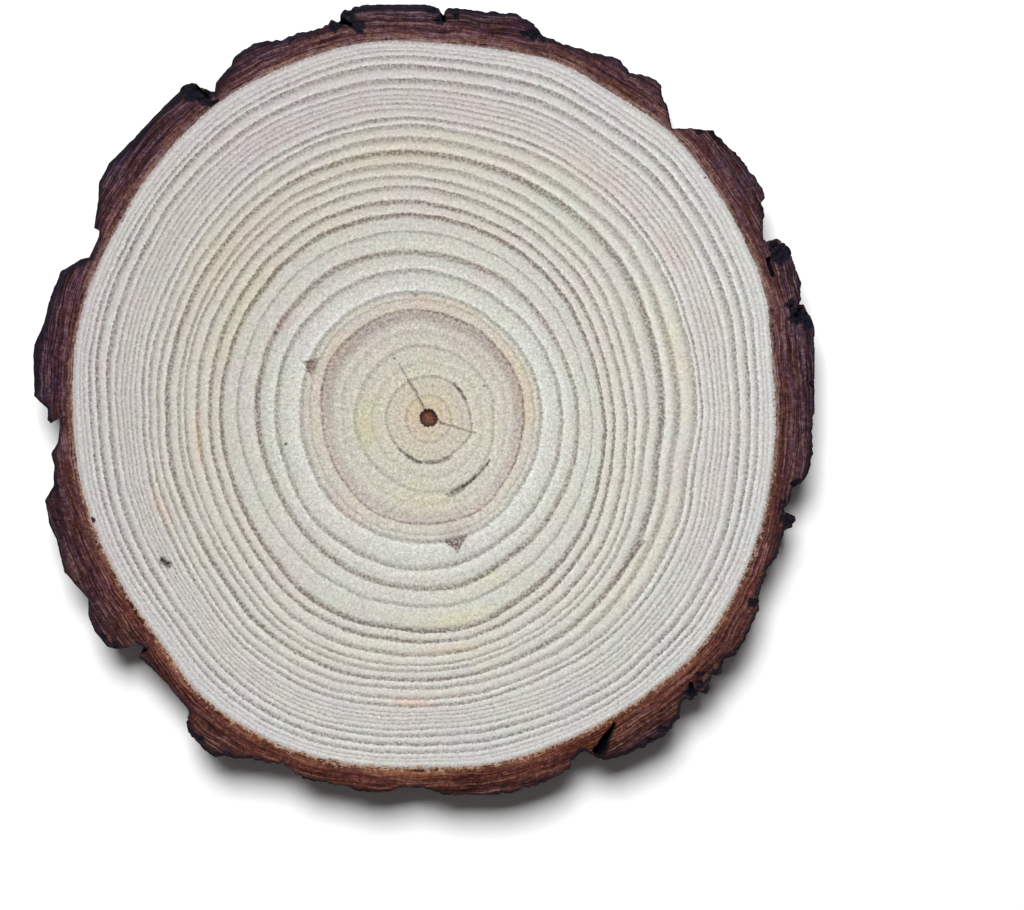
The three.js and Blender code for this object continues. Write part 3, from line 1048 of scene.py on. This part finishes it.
# Charred-looking knobs of old outer bark: [angle, distance, radius].
knobs = [
    (26.5, 123.6, 1.9), (24.9, 124.4, 3.1), (15.3, 122.6, 3.0), (13.8, 125.0, 2.0), (17.4, 121.6, 1.6),
    (44.7, 128.9, 1.5), (43.2, 127.8, 1.0), (46.6, 126.6, 1.2), (86.2, 130.0, 1.6), (88.4, 127.6, 2.0),
    (89.4, 130.6, 1.6), (75.8, 127.2, 1.4), (74.4, 127.0, 1.7), (73.0, 126.4, 1.2), (101.4, 130.4, 2.6),
    (100.2, 127.6, 2.4), (103.6, 128.6, 1.8), (126.0, 128.6, 3.2), (125.0, 125.0, 2.8), (126.6, 130.2, 2.0),
    (124.2, 121.8, 1.6), (180.3, 121.2, 0.9), (216.0, 123.8, 1.5), (214.0, 125.8, 1.0),
    (234.8, 126.2, 1.0), (237.8, 127.0, 1.0), (306.9, 124.8, 1.7), (313.6, 121.8, 2.0),
    (315.6, 122.0, 1.8), (318.4, 123.2, 1.6), (316.6, 119.6, 1.2), (344.1, 119.4, 2.4), (346.6, 117.0, 1.0),
    (330.2, 119.3, 1.7), (350.0, 119.6, 1.6), (191.5, 124.6, 1.2), (190.4, 122.2, 1.7),
    (304.2, 125.2, 1.2), (5.0, 123.2, 1.2), (109.6, 131.0, 0.9), (110.0, 129.4, 1.0), (64.0, 128.6, 1.0),
]

# How crumbly the outer edge is: [angle, share of the roughest].
edgeCrumble = [[0, 1.0], [110, 1.0], [128, 0.25], [225, 0.3], [238, 1.2], [345, 1.2], [360, 1.0]]

# How far in from the outer edge the bark is black: [angle, millimetres].
edgeChar = [
    [0, 0.8], [50, 1.0], [75, 1.6], [88, 2.0], [101, 2.6], [104, 1.2], [125, 2.4], [132, 2.2],
    [150, 1.2], [156, 2.4], [175, 1.8], [185, 1.2], [190, 0.6], [229, 0.6], [232, 2.2], [240, 1.8],
    [245, 0.5], [290, 0.5], [298, 2.0], [311, 1.6], [345, 1.4], [360, 0.8],
]

# The square map of the bark: its strips, their margin, and where each face of the ring ends on a strip.
barkMap = {
    "strips": 4,
    "margin": 0.003,
    "rowShares": [0, 0.36, 0.78, 0.96, 1],
}


def readRound(flat, readings):
    # reads [angle, value] pairs at flat places, along straight lines
    return np.interp(angleRound(flat), *zip(*readings))


def barkOutline():
    # even steps along the plates' outer edge, roughened, and the angle at which each step leaves the wood
    closed = np.vstack([edgeCorners, edgeCorners[:1]])
    walked = np.concatenate([[0], np.cumsum(np.hypot(*np.diff(closed, axis=0).T))])
    along = np.linspace(0, walked[-1], bark["columns"], endpoint=False)
    outline = np.stack([np.interp(along, walked, closed[:, k]) for k in (0, 1)], -1)
    run = np.roll(outline, -2, 0) - np.roll(outline, 2, 0)
    outward = np.stack([run[:, 1], -run[:, 0]], -1) / np.hypot(*run.T)[:, None]
    crumble = readRound(outline, edgeCrumble)
    chips = flatRoughness(outline, *bark["chipNoise"]) * bark["outlineRough"] * crumble
    chips += flatRoughness(outline, *bark["crumbNoise"]) * bark["outlineCrumbs"] * crumble
    chips += bark["outlineShift"] * crumble
    outline = outline + outward * chips[:, None]

    # knobs near the edge stand out of it
    reach = np.hypot(*outline.T)
    for knobAngle, knobDistance, radius in knobs:
        if radius < bark["standingKnob"]:
            continue
        turn = np.arctan2(outline[:, 1], outline[:, 0]) - math.radians(knobAngle)
        aside = knobDistance * np.sin(turn)
        near = (np.abs(aside) < radius) & (np.cos(turn) > 0)
        far = knobDistance * np.cos(turn) + np.sqrt(np.maximum(radius ** 2 - aside ** 2, 0))
        far = far + bark["standingRough"] * chips
        grown = np.where(near & (reach > knobDistance - radius), np.maximum(reach, far), reach)
        outline *= (grown / reach)[:, None]
        reach = grown

    # the columns leave the wood at angles that never turn back, not even under the hook
    angle = np.unwrap(np.arctan2(outline[:, 1], outline[:, 0]))
    hookStart, hookEnd = np.radians(bark["hook"])
    lowest = np.minimum.accumulate(angle[::-1])[::-1]
    angle = np.where((angle > hookStart) & (angle < hookEnd), lowest, angle)
    blur = bark["columnBlur"]
    wrapped = np.concatenate([angle[-blur:] - 2 * math.pi, angle, angle[:blur] + 2 * math.pi])
    kernel = np.hanning(2 * blur + 1)
    smooth = np.convolve(wrapped, kernel / kernel.sum(), "valid")
    return outline, outward, np.degrees(np.maximum.accumulate(smooth)), along, walked[-1]


def gapDepth(flat):
    # how deep the gaps between plates reach down at each place, and how black the painted shadow in them is
    # there
    depth = np.zeros(len(flat))
    shade = np.zeros(len(flat))
    ragged = bark["gapRagged"] * flatRoughness(flat, *bark["gapNoise"])
    for line, wide, thin, deep in gaps:
        corners = [fromPith(*point) for point in line]
        for part, (start, end) in enumerate(zip(corners, corners[1:])):
            run = end - start
            share = np.clip((flat - start) @ run / run.dot(run), 0, 1)
            away = np.hypot(*(flat - start - share[:, None] * run).T) + ragged
            half = 0.5 * (wide + (thin - wide) * (part + share) / (len(corners) - 1))
            depth = np.maximum(depth, deep * (1 - smoothStep(*bark["gapSlope"], away / half)))
            # painted shadow: black in the middle of the gap
            shade = np.maximum(shade, 1 - smoothStep(*bark["gapShadowSlope"], away / half))
    return depth, shade


def knobShade(flat):
    # 1 on the black knobs, and 0 away from them
    ragged = bark["knobRagged"] * flatRoughness(flat, *bark["knobNoise"])
    shade = np.zeros(len(flat))
    for angle, distance, radius in knobs:
        away = np.hypot(*(flat - fromPith(angle, distance)).T) + ragged
        shade = np.maximum(shade, 1 - smoothStep(*bark["knobSlope"], away / radius))
    return shade


def faceRows():
    # the rows of the sheet at which the upper face, the side, the lower face and the inner wall begin and end
    return np.cumsum([0, *bark["cells"]])


def addSheetMap(piece):
    # one strip of the square map for each part of the way round the trunk
    strips = barkMap["strips"]
    margin = barkMap["margin"]
    rowEnds = faceRows()
    across, up = vertexPlaces(piece)[cornerVertices(piece), :2].T + 0.5
    strip = np.floor(across.reshape(-1, 4).mean(1) * strips).repeat(4)  # every face has four corners
    share = np.interp(up * rowEnds[-1], rowEnds, barkMap["rowShares"])
    along = margin + (1 - 2 * margin) * (across * strips - strip)
    upwards = strip / strips + margin + (1 / strips - 2 * margin) * share
    addMap(piece, np.column_stack([along, upwards]))


def leanedOutline(outline, down):
    # the furrows lean round the trunk on the way down, and the lower edge is more worn
    lean = -np.radians(bark["lean"]) * down
    turned = np.stack([outline[:, 0] * np.cos(lean) - outline[:, 1] * np.sin(lean),
                       outline[:, 0] * np.sin(lean) + outline[:, 1] * np.cos(lean)], -1)
    reach = np.hypot(*turned.T)
    return turned * (1 - bark["worn"] * down ** 2 / reach)[:, None]


def sideFlakes(flat, heights):
    # the ledges of the flakes on the outer side, and how deep they and the furrows between them are
    flakes = roughness(np.column_stack([flat, heights * bark["flakeStretch"]]), *bark["flakeNoise"])
    ledges = np.floor(flakes * bark["flakeSteps"]) / bark["flakeSteps"]
    fibres = roughness(np.column_stack([flat, heights * bark["fibreStretch"]]), *bark["fibreNoise"])
    return ledges, bark["flakeDepth"] * (ledges + bark["flakeShift"]) + bark["fibreDepth"] * (fibres + 1)


def faceDrop(flat, along, depthIn, outShare, knob):
    # how far the laminated and crumbled sawn faces lie below the plane of the saw
    layers = np.column_stack([along, depthIn]) * bark["leafStretch"]
    leaves = flatRoughness(layers, *bark["leafNoise"]) + bark["leafShift"]
    crumbs = np.maximum(flatRoughness(flat, *bark["faceNoise"]), bark["highestCrumb"])
    outer = bark["outerDepth"] * smoothStep(bark["outerStart"], 1.0, outShare)
    drop = bark["topDrop"] + bark["leafDepth"] * smoothStep(*bark["leafStart"], depthIn) * leaves
    drop = drop + (bark["faceDepth"] + outer) * crumbs
    drop = drop + bark["rimDrop"] * smoothStep(bark["rimStart"], 1.0, outShare)
    lumps = bark["lumpDepth"] * flatRoughness(flat, *bark["lumpNoise"])
    return np.clip(drop + knob * (bark["knobDrop"] + lumps), *bark["dropLimits"])


def fadeDown(most, loss, down):
    return np.clip(most - down * loss, 0, 1)


def makeBark():
    columns = bark["columns"]
    rowEnds = faceRows()
    _, topEnd, sideEnd, _, rows = rowEnds.tolist()
    outline, outward, woodAngle, along, around = barkOutline()
    deselectAll()
    bpy.ops.mesh.primitive_grid_add(x_subdivisions=columns, y_subdivisions=rows, size=1, calc_uvs=False)
    piece = bpy.context.object
    piece.name = piece.data.name = "bark_ring"
    addSheetMap(piece)

    # the sheet is wrapped into a ring: its columns run round the trunk, and its rows go out over the upper
    # face, down the side, in over the lower face and up again
    places = vertexPlaces(piece) + 0.5
    column = np.rint(places[:, 0] * columns).astype(int) % columns
    row = np.rint(places[:, 1] * rows).astype(int) % rows
    outShare = np.interp(row, rowEnds, [0, 1, 1, 0, 0])
    down = np.interp(row, rowEnds, [0, 0, 1, 1, 0])
    inner = fromPith(woodAngle, roundValue(woodEdge, woodAngle) - bark["tuck"])
    thickness = np.hypot(*(outline - inner).T)
    depthIn = outShare * thickness[column]
    flat = leanedOutline(outline[column], down)
    flat = inner[column] + (flat - inner[column]) * outShare[:, None]

    heights = sliceThickness * (1 - down)
    atEdge = np.where((row >= topEnd) & (row <= sideEnd), 1.0, 0.0)
    ledges, bite = sideFlakes(flat, heights)
    flat = flat - outward[column] * (bite * atEdge * smoothStep(0, bark["sideStart"], down))[:, None]

    gap, gapShadow = gapDepth(flat)
    knob = knobShade(flat)
    drop = faceDrop(flat, along[column], depthIn, outShare, knob)
    height = np.where(down > 0.999, drop * bark["lowerDrop"], heights)
    height = np.where(down < 0.001, sliceThickness - drop - gap, height)
    placeMesh(piece, flat, height)

    blend = bark["sideBlend"]
    side = atEdge * smoothStep(0, blend, down) * (1 - smoothStep(1 - blend, 1, down))
    addReading(piece.data, "depthIn", depthIn)
    addReading(piece.data, "rimIn", thickness[column] - depthIn)
    addReading(piece.data, "char", readRound(flat, edgeChar))
    # painted shadow in the gaps, fading down the side
    addReading(piece.data, "gap", gapShadow * fadeDown(*bark["gapShadowFade"], down))
    addReading(piece.data, "knob", knob * fadeDown(*bark["knobFade"], down))
    addReading(piece.data, "side", side)
    addReading(piece.data, "flake", ledges)
    bpy.ops.object.mode_set(mode="EDIT")
    bpy.ops.mesh.select_all(action="SELECT")
    bpy.ops.mesh.remove_doubles(threshold=1e-6)
    bpy.ops.mesh.normals_make_consistent(inside=False)
    bpy.ops.object.mode_set(mode="OBJECT")
    bpy.ops.object.shade_smooth_by_angle(angle=math.radians(bark["smoothAngle"]))
    print("bark ring", len(piece.data.polygons), "faces,", round(around), "mm round")
    return piece


# The look of the bark, written as that of the wood is.
barkLook = {
    # from the wood outwards: [millimetres, tone]
    "layers": [[1.05, (124, 98, 92)], [1.4, (108, 80, 76)], [2.0, (98, 67, 63)], [2.9, (89, 55, 54)],
               [4.2, (80, 47, 49)], [6.0, (72, 41, 47)], [8.2, (64, 37, 45)], [11.0, (57, 34, 45)],
               [15.0, (51, 31, 44)]],
    "patchNoise": (90, 3.0, 0.6),
    "patchStray": 0.22,
    "patchStart": (0.5, 3.0),
    "lowShares": (1.22, 0.92, 0.55),  # browner on the side that faces -Y
    "lowSpan": (0.020, -0.115),
    "leftShares": (0.86, 0.80, 0.96),  # and purpler towards -X, away from the wood
    "leftSpan": (0.0, -0.09),
    "leftStart": (2.0, 4.5),
    "waveNoise": (120, 3.0, 0.5),
    "wave": 2.2,  # how far a layer strays, in millimetres
    "leafNoise": (1.0, 3.0, 0.65),
    "leafRound": 6.5,
    "leafAcross": 1.9,
    "bandNoise": (1.0, 2.0, 0.6),
    "bandRound": 12.0,
    "bandAcross": 0.6,
    "hueStart": (1.0, 2.5, 0.3, 1.0),
    "hueShares": (-0.6, -0.3, 2.2),
    "gritNoise": (1300, 2.0, 0.7),
    "crumbNoise": (560, 2.0, 0.6),
    "leaves": 8.8,
    "grit": 3.6,
    "crumbs": 3.2,
    "ledge": (0.42, 0.58, -0.3, 0.3),
    "deep": (0.18, 0.07, 0.065),
    "deepSpan": (0.1, -1.7),
    "dust": (172, 148, 146),
    "lowDust": (178, 140, 116),
    "dustSpan": (0.1, 2.2, 0.0, 0.26),
    "lightSpan": (0.1, 2.2, 1.0, 1.45),
    "fray": (202, 182, 166),  # pale torn fibres next to the wood
    "frayStray": 5.0,
    "fraySpan": (0.9, 1.6, 0.6, 0.0),
    "fraySides": (0.0, 0.5, 0.1, 0.75),
    "outside": (84, 58, 50),
    "outsideLight": (136, 106, 90),
    "mottleNoise": (260, 4.0, 0.7),
    "mottle": 2.0,
    "scaleSpan": (-0.5, 0.6),
    "fissureNoise": (210, 4.0, 0.65),
    "fissureStretch": (1.0, 1.0, 0.25),
    "fissureSpan": (0.54, 0.40),
    "fissures": 0.8,
    "shadow": (34, 16, 20),
    "weathering": 0.85,
    "grainNoise": (800, 1.0, 0.6),
    "grain": 0.2,
    "black": (13, 10, 24),
    "charStray": 4.0,
    "charPatches": 3.0,
    "charSpan": (-0.5, 0.7),
    "char": 0.85,
    "knobSpan": (0.0, 0.3, 1.0, 0.85),
    "gritRelief": 0.6,
    "crumbRelief": 0.6,
    "fissureRelief": 1.5,
    "relief": 0.6,
    "reliefStrength": 0.9,
    "roughness": (-0.3, 0.3, 0.75, 0.95),
    "shine": 0.2,
}


def barkLayers(sh, place, depthIn, patches, low):
    # the tone of each layer, browner on one side and purpler on another
    deepest = barkLook["layers"][-1][0]
    stops = [(depth / deepest, colour(*tone)) for depth, tone in barkLook["layers"]]
    stray = (patches - 0.5) * barkLook["patchStray"] * sh.ramp(depthIn, *barkLook["patchStart"])
    tone = sh.node("ShaderNodeValToRGB", {"stops": stops}, {"Fac": depthIn / deepest + stray})
    tone = sh.tint(low, tone, barkLook["lowShares"])
    left = sh.ramp(sh.split(place, 0), *barkLook["leftSpan"]) * sh.ramp(depthIn, *barkLook["leftStart"])
    return sh.tint(left, tone, barkLook["leftShares"])


def weatheredSide(sh, place, fissures):
    # the outer side, grey-brown with dark furrows
    mottle = sh.speckle(place, barkLook["mottleNoise"]) - 0.5
    scales = sh.ramp(sh.reading("flake") + mottle * barkLook["mottle"], *barkLook["scaleSpan"])
    tone = sh.mix(scales, solid(barkLook["outside"]), solid(barkLook["outsideLight"]))
    furrows = sh.ramp(fissures, *barkLook["fissureSpan"]) * barkLook["fissures"]
    return sh.mix(furrows, tone, solid(barkLook["shadow"]))


def barkMaterial():
    sh = Shader("bark")
    place = sh.place()
    flat = sh.vector("MULTIPLY", place, (1.0, 1.0, 0.0))
    depthIn = sh.reading("depthIn")
    side = sh.reading("side")
    patches = sh.speckle(place, barkLook["patchNoise"])
    low = sh.ramp(sh.split(place, 1), *barkLook["lowSpan"])
    tone = barkLayers(sh, place, depthIn, patches, low)

    # thin leaves that run with the growth rings, with grit between them
    around = sh.vector("NORMALIZE", sh.vector("SUBTRACT", flat, pithSpot))
    wave = sh.speckle(flat, barkLook["waveNoise"]) - 0.5
    strayed = depthIn + wave * barkLook["wave"]
    leafPlace = sh.leafPlace(around, barkLook["leafRound"], strayed * barkLook["leafAcross"])
    leaves = sh.speckle(leafPlace, barkLook["leafNoise"])
    bandPlace = sh.leafPlace(around, barkLook["bandRound"], strayed * barkLook["bandAcross"])
    bands = sh.speckle(bandPlace, barkLook["bandNoise"])
    hue = (sh.split(bands.other("Color"), 2) - 0.5) * sh.ramp(depthIn, *barkLook["hueStart"])
    tone = sh.tint(1.0, tone, sh.join(*[hue * share + 1.0 for share in barkLook["hueShares"]]))
    grit = sh.speckle(place, barkLook["gritNoise"]) - 0.5
    crumbs = sh.speckle(place, barkLook["crumbNoise"]) - 0.5
    texture = (leaves - 0.5) * barkLook["leaves"] + grit * barkLook["grit"] + crumbs * barkLook["crumbs"]
    texture = texture + sh.ramp(bands, *barkLook["ledge"])
    tone = sh.tint(sh.ramp(texture, *barkLook["deepSpan"], curve="LINEAR"), tone, barkLook["deep"])
    dust = sh.mix(low, solid(barkLook["dust"]), solid(barkLook["lowDust"]))
    tone = sh.mix(sh.ramp(texture, *barkLook["dustSpan"], "LINEAR"), tone, dust)
    tone = sh.tint(1.0, tone, sh.grey(sh.ramp(texture, *barkLook["lightSpan"], "LINEAR")))

    # torn fibres next to the wood, and weathering on the outer side
    frayed = sh.ramp(depthIn - (crumbs + grit) * barkLook["frayStray"], *barkLook["fraySpan"])
    tone = sh.mix(frayed * sh.ramp(low, *barkLook["fraySides"]), tone, solid(barkLook["fray"]))
    fissurePlace = sh.vector("MULTIPLY", place, barkLook["fissureStretch"])
    fissures = sh.speckle(fissurePlace, barkLook["fissureNoise"])
    tone = sh.mix(side * barkLook["weathering"], tone, weatheredSide(sh, place, fissures))
    tone = sh.mix(barkLook["grain"], tone, sh.speckle(place, barkLook["grainNoise"], out="Color"), "OVERLAY")

    # black: painted shadow in the gaps, and the bark's own black on the knobs and along the broken rim
    charEdge = sh.reading("char") + (crumbs + grit) * barkLook["charStray"]
    charEdge = charEdge + (patches - 0.5) * barkLook["charPatches"]
    rim = sh.ramp(charEdge - sh.reading("rimIn"), *barkLook["charSpan"]) * barkLook["char"] * (1.0 - side)
    knob = sh.reading("knob") * sh.ramp(crumbs + grit, *barkLook["knobSpan"])
    black = sh.reading("gap").maths("MAXIMUM", rim).maths("MAXIMUM", knob)
    tone = sh.mix(black, tone, solid(barkLook["black"]))

    relief = leaves + grit * barkLook["gritRelief"] + crumbs * barkLook["crumbRelief"]
    relief = relief + fissures * side * barkLook["fissureRelief"]
    normal = sh.bump(relief, barkLook["relief"] * mm, barkLook["reliefStrength"])
    rough = sh.ramp(grit, *barkLook["roughness"])
    return sh.end(Base_Color=tone, Roughness=rough, Normal=normal, Specular_IOR_Level=barkLook["shine"])


def giveMaterial(piece, material):
    piece.data.materials.clear()
    piece.data.materials.append(material)
    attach(piece, "root")
    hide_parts("wood_slice")


# A plain pale floor, and soft light from above, a little towards +Y.
studio = {
    "floorSize": 60.0,
    "glowStart": 0.6,  # beyond this distance the floor glows a little, as the light fades
    "glowEnd": 4.0,
    "glow": 0.85,
    "backdropStrength": 0.95,
    "floorTone": (250, 250, 250),
    "floorRoughness": 0.9,
    "worldTone": (255, 255, 255),
    "worldStrength": 0.08,
    "keyPlace": (-0.28, 1.50, 2.72),
    "keySize": 1.40,
    "keyPower": 131.0,
}


def addStudio():
    deselectAll()
    bpy.ops.mesh.primitive_plane_add(size=studio["floorSize"], location=(0, 0, 0))
    floor = bpy.context.object
    floor.name = "floor"
    sh = Shader("floor")
    away = sh.vector("LENGTH", sh.place(), out="Value")
    glow = sh.ramp(away, studio["glowStart"], studio["glowEnd"], 0.0, studio["glow"])
    floor.data.materials.append(sh.end(
        Base_Color=solid(studio["floorTone"]), Roughness=studio["floorRoughness"],
        Emission_Color=sh.grey(glow), Emission_Strength=1.0))

    world = bpy.data.worlds.new("studio")
    world.use_nodes = True
    background = world.node_tree.nodes["Background"]
    background.inputs["Color"].default_value = solid(studio["worldTone"])
    # the backdrop looks bright, but lights the slice only a little
    seen = world.node_tree.nodes.new("ShaderNodeLightPath").outputs["Is Camera Ray"]
    level = world.node_tree.nodes.new("ShaderNodeMapRange")
    level.inputs["To Min"].default_value = studio["worldStrength"]
    level.inputs["To Max"].default_value = studio["backdropStrength"]
    world.node_tree.links.new(seen, level.inputs["Value"])
    world.node_tree.links.new(level.outputs["Result"], background.inputs["Strength"])
    bpy.context.scene.world = world

    data = bpy.data.lights.new("key", "AREA")
    data.energy = studio["keyPower"]
    data.size = studio["keySize"]
    key = bpy.data.objects.new("key", data)
    key.location = studio["keyPlace"]
    x, y, z = studio["keyPlace"]  # it is aimed at the origin
    key.rotation_euler = (math.atan2(math.hypot(x, y), z), 0, math.atan2(x, -y))
    bpy.context.scene.collection.objects.link(key)
    bpy.context.scene.view_settings.view_transform = "Standard"
    print("studio ready")


addCamera()
addStudio()
giveMaterial(makeWood(), woodMaterial())
giveMaterial(makeBark(), barkMaterial())
